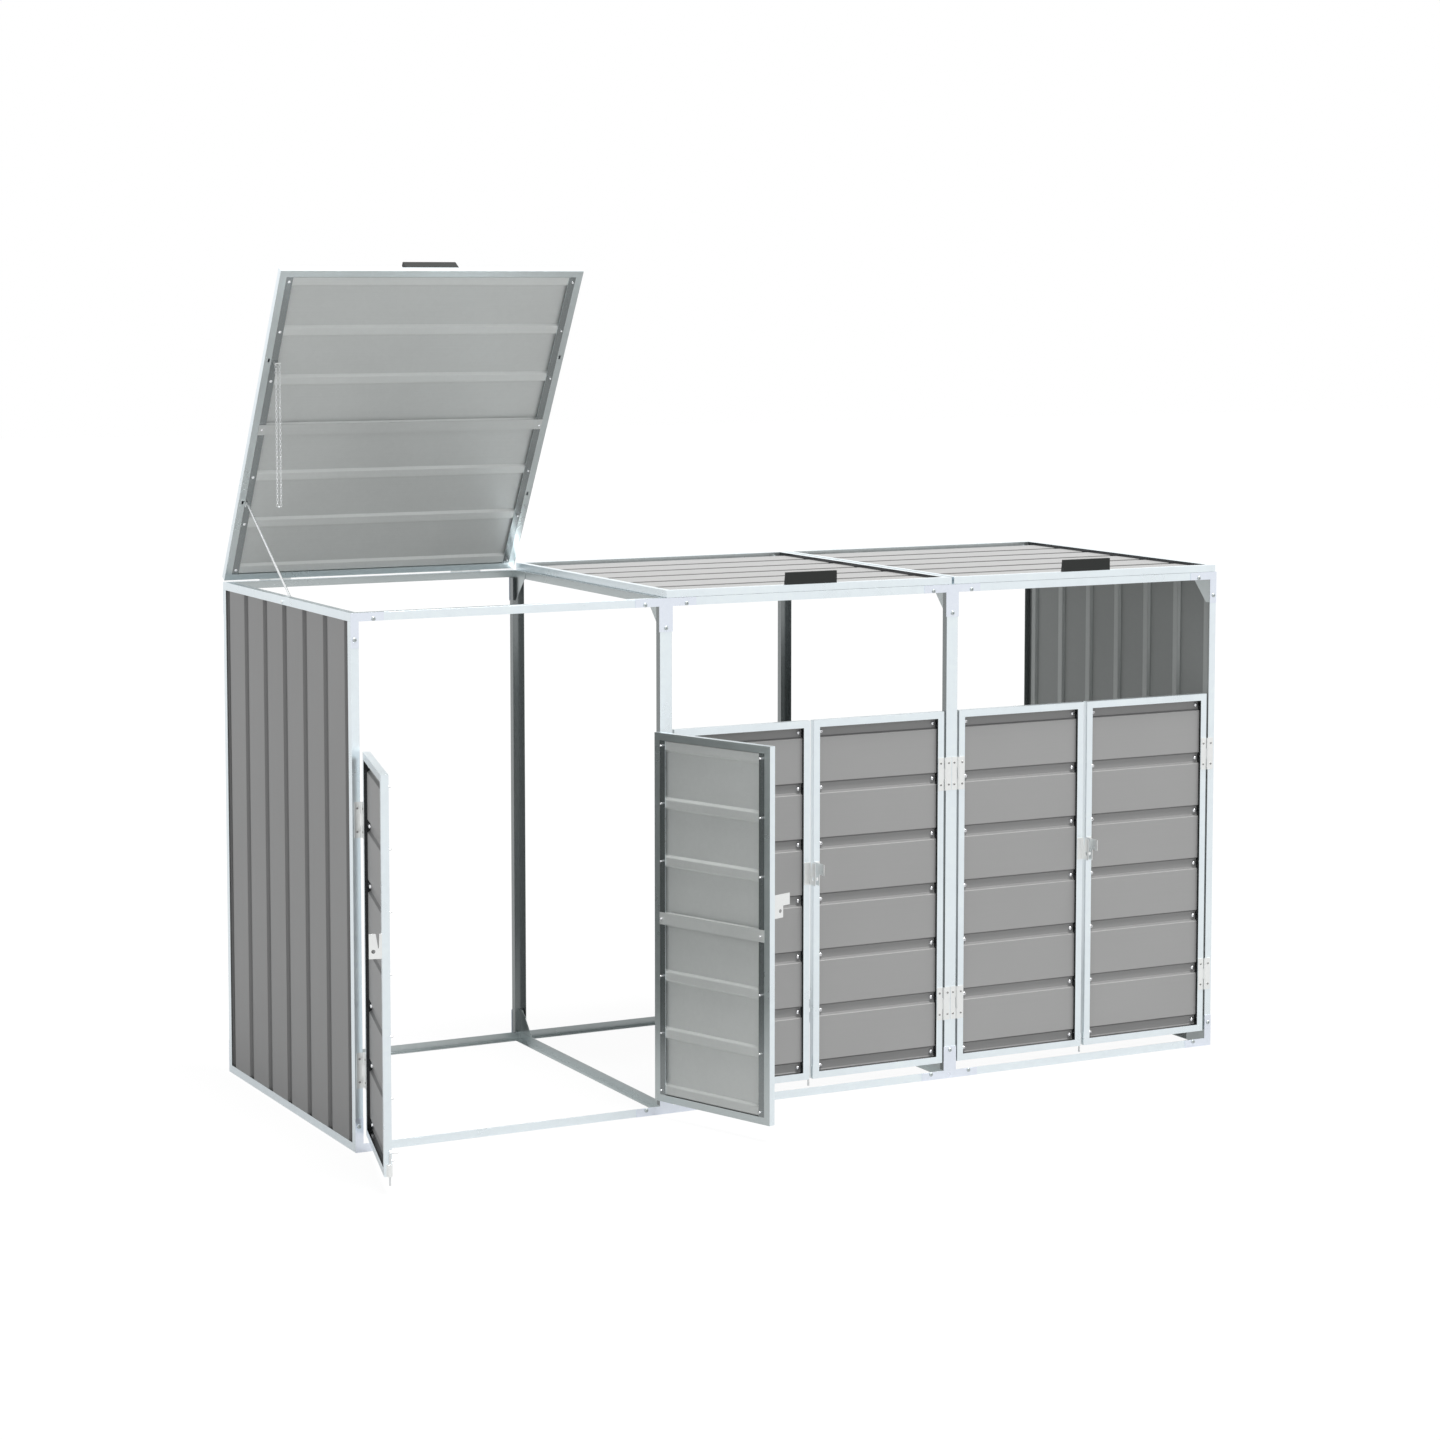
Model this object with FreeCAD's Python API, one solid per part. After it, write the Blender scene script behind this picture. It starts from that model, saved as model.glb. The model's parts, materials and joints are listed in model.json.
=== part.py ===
import FreeCAD, Part
import math

# Wheelie bin store: three bays side by side in one light galvanised frame, millimetres.
# +Z is up and -Y is the front, where the doors are. The origin is on the ground,
# under the middle of the front bottom rail.
# It stands as in use: first lid propped up, first pair of doors open, all else shut.

# Frame
store_width = 2070.0
store_depth = 772.0
frame_height = 1081.0
angle_leg = 17.0
sheet = 1.2
bay_count = 3
mid_post_width = 28.0
divider_offset = 5.5
plate_arm = 70.0
plate_stem_overhang = 1.5
gusset_reach = 68.0
gusset_tip = 12.0
gusset_root = 14.0
end_plate_screws = ((48.0, 12.5), (8.0, 53.0))
mid_plate_screws = ((-47.5, 12.5), (47.5, 12.5), (0.0, 62.0))
screw_radius = 4.0
screw_height = 2.2
screw_sides = 6
small_hole_sides = 8

# Corrugated sheet, the same in doors, lids and sides
rib_pitch = 120.0
rib_depth = 6.0
valley_floor = 18.0
valley_mouth = 26.0
side_first_valley = 26.0

# Tube frames of the doors and lids
tube = 15.0
fin = 15.0
strap_height = 25.0

# Hinges
hinge_length = 72.0
barrel_radius = 2.4
barrel_sides = 8
hinge_pin_radius = 1.2
barrel_bore_radius = 1.7
door_barrel_to_face = 2.2
lid_barrel_to_face = 2.7
barrel_gap = 0.4
leaf_start = 2.9
leaf_end = 16.5
mid_leaf_end = 15.6

# Doors
door_bottom = 35.0
door_top = 806.0
hinge_gap = 5.0
door_centre_gap = 9.0
door_hinge_heights = (166.0, 670.0)
left_door_open_angle = 105.0
right_door_open_angle = 110.0

# Padlock hasps
hasp_bottom = 456.0
hasp_top = 504.0
hasp_base = 14.0
hasp_reach = 25.0
hasp_pull = 45.0
hasp_pull_bottom = 480.0
hasp_notch = ((5.0, 1.0), (12.0, 1.0), (7.5, -28.0), (6.0, -28.0))
padlock_hole_radius = 4.0
padlock_hole_out = 16.5
padlock_hole_height = 470.0

# Drop bolts on the left doors, drawn up
bolt_radius = 2.0
bolt_out = 3.4
bolt_back = 10.7
bolt_tip = 19.0
bolt_length = 64.0
bolt_finger = 16.0
bolt_hole_clearance = 0.35
bolt_guide_wall = 1.6
bolt_guide_width = 13.0
guide_bottom = 36.0
guide_top = 60.0

# Lids
lid_side_gap = 3.0
lid_seat_gap = 0.4
lid_hinge_inset = 117.0
lid_open_angle = 60.0
lid_slot_reaches = (205.0, 560.0)
lid_slot_inset = 9.5
lid_slot_width = 4.0
lid_slot_length = 9.0
handle_width = 120.0
handle_height = 26.0
handle_set_back = 1.5
handle_foot_depth = 13.0
handle_foot_height = 2.5
handle_top_depth = 9.0
handle_wall = 3.0

# Prop rods and the chain that lifts the bin's lid
prop_radius = 2.5
prop_pivot_radius = 1.5
prop_pivot_reach = 205.0
prop_below_lid = 4.5
prop_inset = 19.0
prop_lug_half = 6.0
prop_lug_gap = 1.3
prop_lug_below_pin = 4.5
prop_cross_reach = 3.2
prop_seat_from_front = 396.0
prop_seat_below_top = 11.0
seat_bolt_radius = 2.0
seat_hole_clearance = 0.2
seat_half = 8.0
seat_beyond_rod = 4.0
seat_below_rod = 0.5
seat_tab = 5.0
chain_reach = 556.0
chain_inset = 28.0
chain_drop = 300.0
chain_width = 3.0
chain_spread = 8.0
chain_below_lid = 5.5
hook_half = 3.0
hook_gap = 0.5
hook_pin_radius = 1.1
chain_eye_radius = 2.8
chain_eye_clearance = 0.4

V = FreeCAD.Vector
left_x = -store_width / 2
right_x = store_width / 2
front_y = -angle_leg / 2
back_y = front_y + store_depth
middle_y = (front_y + back_y) / 2
bay_pitch = store_width / bay_count
bay_clear = (store_width - 2 * angle_leg - (bay_count - 1) * mid_post_width) / bay_count
door_width = (bay_clear - 2 * hinge_gap - door_centre_gap) / 2
door_height = door_top - door_bottom
lid_width = bay_pitch - 2 * lid_side_gap
prop_seat_height = frame_height - prop_seat_below_top
lid_axis_y = back_y + lid_barrel_to_face
lid_under = frame_height + lid_seat_gap
lid_axis_z = frame_height + lid_seat_gap / 2
UP = V(0, 0, 1)
RIGHT = V(1, 0, 0)
BACK = V(0, 1, 0)
ZERO = V(0, 0, 0)

made = {}


def block(x0, y0, z0, x1, y1, z1):
    return Part.makeBox(x1 - x0, y1 - y0, z1 - z0, V(x0, y0, z0))


def prism(points, along):
    return Part.Face(Part.makePolygon(points + [points[0]])).extrude(along)


def mirrored(shape, point, normal):
    return shape.mirror(point, normal)


def turned(shape, point, axis, degrees):
    copy = shape.copy()
    copy.rotate(point, axis, degrees)
    return copy


def moved(shape, by):
    copy = shape.copy()
    copy.translate(by)
    return copy


def rod_with_flats(start, along, radius, sides):
    """A bar with flat sides, used for small round pieces where a true cylinder isn't needed."""
    across = along.cross(UP) if abs(along.z) < 0.9 * along.Length else along.cross(RIGHT)
    across.normalize()
    other = V(along).normalize().cross(across)
    corners = []
    for i in range(sides):
        a = math.radians(360 * (i + 0.5) / sides)
        corners.append(start + across * (radius * math.cos(a)) + other * (radius * math.sin(a)))
    return prism(corners, along)


def screw_head(point, outward, radius=screw_radius, height=screw_height):
    return rod_with_flats(point, outward * height, radius, screw_sides)


def write(name, solids):
    shape = solids[0] if len(solids) == 1 else Part.makeCompound(solids)
    for solid in shape.Solids:
        if not solid.isValid() or solid.Volume <= 0:
            print("bad solid in", name)
    shape.exportStep("parts/" + name + ".step")
    made[name] = shape


def rib_profile(length, first):
    """The corrugated sheet's outline as (along, depth), with depth 0 at the planks' outer face."""
    half_floor, half_mouth = valley_floor / 2, valley_mouth / 2
    line = []
    centre = first
    while centre < length + half_mouth:
        for at, depth in (
            (centre - half_mouth, 0.0),
            (centre - half_floor, rib_depth),
            (centre + half_floor, rib_depth),
            (centre + half_mouth, 0.0),
        ):
            line.append((at, depth))
        centre += rib_pitch
    inside = [p for p in line if 0.5 < p[0] < length - 0.5]
    start = depth_at(line, 0.0)
    end = depth_at(line, length)
    front = [(0.0, start)] + inside + [(length, end)]
    return front + [(a, d + sheet) for a, d in reversed(front)]


def depth_at(line, at):
    for (a0, d0), (a1, d1) in zip(line, line[1:]):
        if a0 <= at <= a1:
            return d0 + (d1 - d0) * (at - a0) / (a1 - a0)
    return 0.0


# Posts. End posts are angles, middle posts are channels open to the back.
def end_post(x, y, inward_x, inward_y):
    z0, z1 = angle_leg, frame_height - angle_leg
    points = [
        (0, 0), (angle_leg, 0), (angle_leg, sheet), (sheet, sheet), (sheet, angle_leg), (0, angle_leg),
    ]
    return prism([V(x + u * inward_x, y + v * inward_y, z0) for u, v in points], V(0, 0, z1 - z0))


def mid_post(x, y, inward_y):
    z0, z1 = angle_leg, frame_height - angle_leg
    h = mid_post_width / 2
    points = [
        (-h, 0), (h, 0), (h, angle_leg), (h - sheet, angle_leg), (h - sheet, sheet),
        (-h + sheet, sheet), (-h + sheet, angle_leg), (-h, angle_leg),
    ]
    return prism([V(x + u, y + v * inward_y, z0) for u, v in points], V(0, 0, z1 - z0))


mid_posts_x = [
    left_x + angle_leg + (bay_clear + mid_post_width) * (i + 1) - mid_post_width / 2
    for i in range(bay_count - 1)
]
write("front_post_left", [end_post(left_x, front_y, 1, 1)])
write("front_post_right", [end_post(right_x, front_y, -1, 1)])
write("back_post_left", [end_post(left_x, back_y, 1, -1)])
write("back_post_right", [end_post(right_x, back_y, -1, -1)])
for i, x in enumerate(mid_posts_x):
    write(f"front_post_mid_{i + 1}", [mid_post(x, front_y, 1)])
    write(f"back_post_mid_{i + 1}", [mid_post(x, back_y, -1)])

# Rails: a mitred ring of angle at the top, and the same ring upside down on the ground.
upside = lambda s: mirrored(s, V(0, 0, frame_height / 2), UP)
front_back = lambda s: mirrored(s, V(0, middle_y, 0), BACK)
left_right = lambda s: mirrored(s, ZERO, RIGHT)


def rail_section():
    """A top rail's outline as (inwards from its outer face, height)."""
    low, high = frame_height - angle_leg, frame_height
    return [
        (0, low), (sheet, low), (sheet, high - sheet), (angle_leg, high - sheet), (angle_leg, high), (0, high),
    ]


def front_top_rail():
    low = frame_height - angle_leg
    bar = prism([V(left_x, front_y + v, z) for v, z in rail_section()], V(store_width, 0, 0))
    mitre = prism(
        [
            V(left_x, front_y, low), V(right_x, front_y, low),
            V(right_x - angle_leg, front_y + angle_leg, low),
            V(left_x + angle_leg, front_y + angle_leg, low),
        ],
        V(0, 0, angle_leg),
    )
    return bar.common(mitre).Solids[0]


def left_top_rail():
    low = frame_height - angle_leg
    bar = prism([V(left_x + u, front_y, z) for u, z in rail_section()], V(0, store_depth, 0))
    mitre = prism(
        [
            V(left_x, front_y, low), V(left_x + angle_leg, front_y + angle_leg, low),
            V(left_x + angle_leg, back_y - angle_leg, low), V(left_x, back_y, low),
        ],
        V(0, 0, angle_leg),
    )
    return bar.common(mitre).Solids[0]


front_rail = front_top_rail()
left_rail = left_top_rail()
write("front_rail_top", [front_rail])
write("front_rail_bottom", [upside(front_rail)])
write("back_rail_top", [front_back(front_rail)])
write("back_rail_bottom", [upside(front_back(front_rail))])

# The seats of the prop rods are bolted through the left rail, so it has a hole there.
seat_y = front_y + prop_seat_from_front
seat_hole = rod_with_flats(V(left_x, seat_y, prop_seat_height), V(angle_leg, 0, 0),
                           seat_bolt_radius + seat_hole_clearance, screw_sides)
write("side_rails", [
    left_rail.cut(seat_hole), upside(left_rail), left_right(left_rail), upside(left_right(left_rail)),
])

# Divider rails join each middle pair of posts. The bottom one is the top one turned over.
dividers_top, dividers_bottom = [], []
for x in mid_posts_x:
    corner = V(x - divider_offset, front_y + angle_leg, 0)
    length = V(0, store_depth - 2 * angle_leg, 0)
    rail = prism([corner + V(u, 0, z) for u, z in rail_section()], length)
    dividers_top.append(rail)
    dividers_bottom.append(turned(rail, V(x, 0, frame_height / 2), BACK, 180))
write("divider_rails_top", dividers_top)
write("divider_rails_bottom", dividers_bottom)

# Corrugated side panels stand inside the posts and rails, ribs upright.
side_outline = rib_profile(store_depth - 2 * sheet, side_first_valley - sheet)
side_points = [V(left_x + sheet + d, front_y + sheet + a, sheet) for a, d in side_outline]
side_panel = prism(side_points, V(0, 0, frame_height - 2 * sheet))
write("side_panel_left", [side_panel.cut(seat_hole)])
write("side_panel_right", [left_right(side_panel)])

# Corner plates on the front and back faces, and gussets behind them.
def end_plate():
    top = frame_height
    points = [
        (0, top), (plate_arm, top), (plate_arm, top - angle_leg), (angle_leg, top - angle_leg),
        (angle_leg, top - plate_arm), (0, top - plate_arm),
    ]
    return prism([V(left_x + u, front_y - sheet, z) for u, z in points], V(0, sheet, 0))


def mid_plate(x):
    h = mid_post_width / 2 + plate_stem_overhang
    top = frame_height
    points = [
        (-plate_arm, top), (plate_arm, top), (plate_arm, top - angle_leg), (h, top - angle_leg),
        (h, top - plate_arm), (-h, top - plate_arm), (-h, top - angle_leg), (-plate_arm, top - angle_leg),
    ]
    return prism([V(x + u, front_y - sheet, z) for u, z in points], V(0, sheet, 0))


def gusset(x0):
    top = frame_height - sheet
    y0 = front_y + sheet
    points = [
        (y0, top), (y0 + gusset_reach, top), (y0 + gusset_reach, top - gusset_tip),
        (y0 + gusset_root, top - gusset_reach), (y0, top - gusset_reach),
    ]
    return prism([V(x0, y, z) for y, z in points], V(sheet, 0, 0))


def plate_screws(x, spots):
    return [
        screw_head(V(x + across, front_y - sheet, frame_height - below), V(0, -1, 0))
        for across, below in spots
    ]


plates, gussets, heads = [], [], []
for end in (lambda s: s, left_right):
    for flip in (lambda s: s, upside):
        for side in (lambda s: s, front_back):
            plates.append(side(flip(end(end_plate()))))
            gussets.append(side(flip(end(gusset(left_x + angle_leg - sheet)))))
            heads += [side(flip(end(h))) for h in plate_screws(left_x, end_plate_screws)]
for x in mid_posts_x:
    for flip in (lambda s: s, lambda s: turned(s, V(x, 0, frame_height / 2), BACK, 180)):
        for side in (lambda s: s, front_back):
            plates.append(side(flip(mid_plate(x))))
            gussets.append(side(flip(gusset(x - divider_offset - sheet))))
            heads += [side(flip(h)) for h in plate_screws(x, mid_plate_screws)]
write("corner_plates", plates)
write("corner_gussets", gussets)
write("corner_screws", heads)


# One leaf hinge, laid out along +Z with its pin on the Z axis at the origin. The leaf of the
# fixed side lies towards -X and that of the moving side towards +X, both with their backs
# at y = to_face.
def hinge_leaf(reach, moving, to_face):
    third = hinge_length / 3
    half = hinge_length / 2
    spans = [(-third / 2, third / 2)] if moving else [(-half, -third / 2), (third / 2, half)]
    sign = 1 if moving else -1
    y0, y1 = to_face - sheet, to_face
    x0, x1 = sorted((sign * leaf_start, sign * reach))
    shape = block(x0, y0, -half, x1, y1, half)
    for low, high in spans:
        low += barrel_gap / 2
        high -= barrel_gap / 2
        a, b = sorted((0, sign * (leaf_start + 0.5)))
        shape = shape.fuse(block(a, y0, low, b, y1, high))
        shape = shape.fuse(rod_with_flats(V(0, 0, low), V(0, 0, high - low), barrel_radius, barrel_sides))
    if moving:
        bore = rod_with_flats(V(0, 0, -half), V(0, 0, hinge_length), barrel_bore_radius, barrel_sides)
        shape = shape.cut(bore)
    else:
        shape = shape.fuse(Part.makeCylinder(hinge_pin_radius, third + 2, V(0, 0, -third / 2 - 1)))
    return shape.removeSplitter().Solids[0]


# A framed panel: square tube all round, with a fin along the two long sides that carries the
# ribbed sheet, and a flat strap across the back. It lies with width along +X,
# height along +Z and its outer face at y = 0.
def framed_panel(width, height):
    def member(points, base, along, cut):
        bar = prism([base(u, v) for u, v in points], along)
        hollow = prism([base(u, v) for u, v in (
            (sheet, sheet), (tube - sheet, sheet), (tube - sheet, tube - sheet), (sheet, tube - sheet),
        )], along)
        return bar.cut(hollow).common(cut).Solids[0]

    square = [(0, 0), (tube, 0), (tube, tube), (0, tube)]
    deep = tube + fin
    finned = [(0, 0), (tube, 0), (tube, tube - sheet), (deep, tube - sheet), (deep, tube), (0, tube)]
    through = V(0, tube + 2, 0)
    left_cut = prism([
        V(0, -1, 0), V(tube, -1, tube), V(deep, -1, tube), V(deep, -1, height - tube),
        V(tube, -1, height - tube), V(0, -1, height),
    ], through)
    bottom_cut = prism([V(0, -1, 0), V(width, -1, 0), V(width - tube, -1, tube), V(tube, -1, tube)], through)
    left = member(finned, lambda u, v: V(u, v, 0), V(0, 0, height), left_cut)
    right = mirrored(left, V(width / 2, 0, 0), RIGHT)
    bottom = member(square, lambda u, v: V(0, v, u), V(width, 0, 0), bottom_cut)
    top = mirrored(bottom, V(0, 0, height / 2), UP)
    middle = height / 2
    strap = block(tube, tube, middle - strap_height / 2, width - tube, tube + sheet,
                  middle + strap_height / 2)
    first = (height - 6 * rib_pitch) / 2 - tube
    back_of_planks = tube - sheet - rib_depth - sheet
    outline = rib_profile(height - 2 * tube, first)
    panel = prism([V(tube, back_of_planks + d, tube + a) for a, d in outline], V(width - 2 * tube, 0, 0))
    return [left, right, bottom, top, strap], [panel]


# Doors. Each is built shut as a left door with its hinge pin on the Z axis, mirrored for the
# right side, turned to where it stands and moved to its post.
def hasp(right):
    edge = hinge_gap / 2 + door_width
    y1 = door_barrel_to_face
    base = block(edge - hasp_base, y1 - sheet, hasp_bottom, edge, y1, hasp_top)
    plate = block(edge - sheet, y1 - hasp_reach, hasp_bottom, edge, y1, hasp_top)
    if right:
        plate = plate.fuse(block(edge - sheet, y1 - hasp_pull, hasp_pull_bottom, edge, y1, hasp_top))
    else:
        notch = prism([V(edge - 3, y1 - out, hasp_top + above) for out, above in hasp_notch], V(6, 0, 0))
        plate = plate.cut(notch)
    eye_from = V(edge - 2 * sheet, y1 - padlock_hole_out, padlock_hole_height)
    eye = rod_with_flats(eye_from, V(3 * sheet, 0, 0), padlock_hole_radius, 2 * small_hole_sides)
    return base.fuse(plate.cut(eye)).removeSplitter().Solids[0]


def bolt_guide():
    edge = hinge_gap / 2 + door_width
    y1 = door_barrel_to_face
    around = bolt_radius + bolt_guide_wall
    base = block(edge, y1 + bolt_back - bolt_guide_width / 2, guide_bottom, edge + sheet,
                 y1 + bolt_back + bolt_guide_width / 2 - sheet, guide_top)
    loop = block(edge, y1 + bolt_back - around, guide_bottom, edge + bolt_out + around,
                 y1 + bolt_back + around, guide_top)
    eye = Part.makeCylinder(bolt_radius + bolt_hole_clearance, guide_top - guide_bottom,
                            V(edge + bolt_out, y1 + bolt_back, guide_bottom), UP)
    return base.fuse(loop).cut(eye).removeSplitter().Solids[0]


def drop_bolt():
    edge = hinge_gap / 2 + door_width
    x, y = edge + bolt_out, door_barrel_to_face + bolt_back
    top = bolt_tip + bolt_length
    upright = Part.makeCylinder(bolt_radius, bolt_length, V(x, y, bolt_tip))
    finger = rod_with_flats(V(x, y, top), V(0, bolt_finger, 0), bolt_radius, small_hole_sides)
    return upright.fuse(finger).removeSplitter().Solids[0]


def door_shapes(right):
    frame, panel = framed_panel(door_width, door_height)
    to_place = V(hinge_gap / 2, door_barrel_to_face, door_bottom)
    frame = [moved(s, to_place) for s in frame]
    panel = [moved(s, to_place) for s in panel]
    leaf = hinge_leaf(leaf_end, True, door_barrel_to_face)
    fittings = [moved(leaf, V(0, 0, height)) for height in door_hinge_heights]
    fittings.append(hasp(right))
    groups = [frame, panel, fittings]
    if not right:
        fittings.append(bolt_guide())
        groups.append([drop_bolt()])
    if right:
        groups = [[left_right(s) for s in group] for group in groups]
    return groups


pin_y = front_y - door_barrel_to_face
bay_left = [left_x + angle_leg + i * (bay_clear + mid_post_width) for i in range(bay_count)]
left_groups, right_groups = door_shapes(False), door_shapes(True)
post_leaves = []
for bay in range(bay_count):
    for side, groups, x in (
        ("left", left_groups, bay_left[bay] + hinge_gap / 2),
        ("right", right_groups, bay_left[bay] + bay_clear - hinge_gap / 2),
    ):
        swing = 0.0
        if bay == 0:
            swing = -left_door_open_angle if side == "left" else right_door_open_angle
        placed = [
            [moved(turned(s, ZERO, UP, swing), V(x, pin_y, 0)) for s in group] for group in groups
        ]
        for kind, group in zip(("frame", "panel", "fittings"), placed):
            write(f"door_{bay + 1}_{side}_{kind}", group)
        if side == "left":
            write(f"drop_bolt_{bay + 1}", placed[3])
        for height in door_hinge_heights:
            leaf = hinge_leaf(mid_leaf_end, False, door_barrel_to_face)
            if side == "right":
                leaf = left_right(leaf)
            post_leaves.append(moved(leaf, V(x, pin_y, height)))
write("door_hinge_leaves", post_leaves)


# Lids. Each is built shut, lying with its outer face up, and the first is turned up on its pin.
def flat_down(shape):
    """Lays a framed panel down as a shut lid with its outer face up."""
    return turned(shape, ZERO, RIGHT, -90)


def lid_shapes():
    frame, panel = framed_panel(lid_width, store_depth)
    for reach in lid_slot_reaches:
        for x in (lid_slot_inset, lid_width - lid_slot_inset):
            z = lid_barrel_to_face + store_depth - reach
            slot = block(x - lid_slot_width / 2, tube - 2 * sheet, z - lid_slot_length / 2,
                         x + lid_slot_width / 2, tube + sheet, z + lid_slot_length / 2)
            frame = [s.cut(slot) for s in frame]
    frame = [s.Solids[0] for s in frame]
    lay = lambda s: moved(flat_down(s), V(0, front_y, lid_under + tube))
    frame, panel = [[lay(s) for s in group] for group in (frame, panel)]
    fittings = []
    for x in (lid_hinge_inset, lid_width - lid_hinge_inset):
        fittings.append(moved(lid_leaf(hinge_leaf(leaf_end, True, lid_barrel_to_face)), V(x, 0, 0)))
    pivot_y = lid_axis_y - prop_pivot_reach
    lug_x = prop_inset - prop_radius - prop_lug_gap - sheet
    z = lid_under - prop_below_lid
    lug = block(lug_x, pivot_y - prop_lug_half, z - prop_lug_below_pin,
                lug_x + sheet, pivot_y + prop_lug_half, lid_under)
    eye = Part.makeCylinder(prop_pivot_radius + 0.3, 3 * sheet, V(lug_x - sheet, pivot_y, z), RIGHT)
    fittings.append(lug.cut(eye))
    hook_y = lid_axis_y - chain_reach
    hook_x = chain_inset - chain_spread / 2 - chain_width / 2 - hook_gap
    z = lid_under - chain_below_lid
    hook = block(hook_x - sheet, hook_y - hook_half, z - hook_half, hook_x, hook_y + hook_half, lid_under)
    pin = Part.makeCylinder(hook_pin_radius, chain_spread + chain_width + 4 * hook_gap,
                            V(hook_x - hook_gap, hook_y, z), RIGHT)
    fittings.append(hook.fuse(pin).removeSplitter().Solids[0])
    return frame, panel, [lid_handle()], fittings


def lid_handle():
    """A plastic grip, open to the back, with a foot on the tube and a short roof for the fingers."""
    x0, x1 = (lid_width - handle_width) / 2, (lid_width + handle_width) / 2
    y0, z0 = front_y + handle_set_back, lid_under + tube
    z1 = z0 + handle_height
    handle = block(x0, y0, z0, x1, y0 + handle_wall, z1)
    handle = handle.fuse(block(x0, y0, z1 - handle_wall, x1, y0 + handle_top_depth, z1))
    handle = handle.fuse(block(x0, y0, z0, x1, y0 + handle_foot_depth, z0 + handle_foot_height))
    side = [(0, z0), (handle_foot_depth, z0), (handle_top_depth, z1), (0, z1)]
    for x in (x0, x1 - handle_wall):
        handle = handle.fuse(prism([V(x, y0 + v, z) for v, z in side], V(handle_wall, 0, 0)))
    return handle.removeSplitter().Solids[0]


def lid_leaf(shape):
    """The moving leaf stands up against the lid's back edge with its pin along X."""
    stood = turned(turned(shape, ZERO, BACK, -90), ZERO, UP, 180)
    return moved(stood, V(0, lid_axis_y, lid_axis_z))


def prop_rod():
    pivot = V(prop_inset, lid_axis_y - prop_pivot_reach, lid_under - prop_below_lid)
    top = pivot + V(0, prop_radius, 0)
    to_side = V(-prop_radius - prop_cross_reach, 0, 0)
    shut = Part.makeCylinder(prop_radius, prop_length + prop_radius, top, V(0, -1, 0))
    cross = rod_with_flats(pivot, to_side, prop_pivot_radius, small_hole_sides)
    return shut.fuse(cross).removeSplitter().Solids[0], pivot


# Where the rod's foot stands when the lid is up fixes its length and how far it swings.
up = math.radians(lid_open_angle)
pivot_above = lid_under - prop_below_lid - lid_axis_z
pivot_up_y = lid_axis_y - prop_pivot_reach * math.cos(up) + pivot_above * math.sin(up)
pivot_up_z = lid_axis_z + prop_pivot_reach * math.sin(up) + pivot_above * math.cos(up)
drop = pivot_up_z - prop_seat_height
run = pivot_up_y - seat_y
prop_length = math.hypot(drop, run)
prop_swing = lid_open_angle + math.degrees(math.atan2(drop, run))
print("prop rod length %.2f swing %.3f ratio %.5f" % (prop_length, prop_swing, -prop_swing / lid_open_angle))
print("prop pivot up y %.3f z %.3f" % (pivot_up_y, pivot_up_z))

lid_leaves = []
seats = []
for bay in range(bay_count):
    x = left_x + bay * bay_pitch + lid_side_gap
    groups = [[moved(s, V(x, 0, 0)) for s in group] for group in lid_shapes()]
    rod, pivot = prop_rod()
    rod = moved(rod, V(x, 0, 0))
    if bay == 0:
        tip_up = lambda s: turned(s, V(0, lid_axis_y, lid_axis_z), RIGHT, -lid_open_angle)
        groups = [[tip_up(s) for s in group] for group in groups]
        rod = tip_up(turned(rod, pivot + V(x, 0, 0), RIGHT, prop_swing))
    for kind, group in zip(("frame", "panel", "handle", "fittings"), groups):
        write(f"lid_{bay + 1}_{kind}", group)
    write(f"prop_rod_{bay + 1}", [rod])
    for at in (x + lid_hinge_inset, x + lid_width - lid_hinge_inset):
        lid_leaves.append(moved(lid_leaf(hinge_leaf(leaf_end, False, lid_barrel_to_face)), V(at, 0, 0)))
    # Shelf that the rod's foot stands on, fixed to the rail beside it
    seat_z = prop_seat_height - prop_radius - seat_below_rod
    wall = left_x + 2 * sheet + rib_depth if bay == 0 else mid_posts_x[bay - 1] - divider_offset + sheet
    seats.append(block(wall, seat_y - seat_half, seat_z - sheet,
                       x + prop_inset + seat_beyond_rod, seat_y + seat_half, seat_z))
    if bay == 0:
        through = V(2 * sheet + rib_depth, 0, 0)
        bolt = rod_with_flats(V(left_x, seat_y, prop_seat_height), through, seat_bolt_radius, screw_sides)
        nub = screw_head(V(left_x, seat_y, prop_seat_height), V(-1, 0, 0), screw_radius, screw_height)
        tab = block(wall, seat_y - seat_tab, seat_z,
                    wall + sheet, seat_y + seat_tab, prop_seat_height + seat_tab)
        seats[-1] = seats[-1].fuse(tab).removeSplitter().Solids[0]
        seats.append(bolt.fuse(nub).removeSplitter().Solids[0])
write("lid_hinge_leaves", lid_leaves)
write("prop_seats", seats)

# Chain that hangs from a pin under the first lid, as one closed loop with an eye at the top.
chain_above = lid_under - chain_below_lid - lid_axis_z
chain_y = lid_axis_y - chain_reach * math.cos(up) + chain_above * math.sin(up)
chain_z = lid_axis_z + chain_reach * math.sin(up) + chain_above * math.cos(up)
chain_x = left_x + lid_side_gap + chain_inset
print("chain hangs from x %.3f y %.3f z %.3f" % (chain_x, chain_y, chain_z))
c = chain_width / 2
far = chain_spread / 2 + c
outer = block(chain_x - far, chain_y - c, chain_z - chain_drop, chain_x + far, chain_y + c, chain_z + c)
inner = block(chain_x - far + chain_width, chain_y - c, chain_z - chain_drop + chain_width,
              chain_x + far - chain_width, chain_y + c, chain_z - c)
across = V(2 * far, 0, 0)
eye = rod_with_flats(V(chain_x - far, chain_y, chain_z), across, chain_eye_radius, small_hole_sides)
bore = rod_with_flats(V(chain_x - far, chain_y, chain_z), across, hook_pin_radius + chain_eye_clearance,
                      small_hole_sides)
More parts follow.
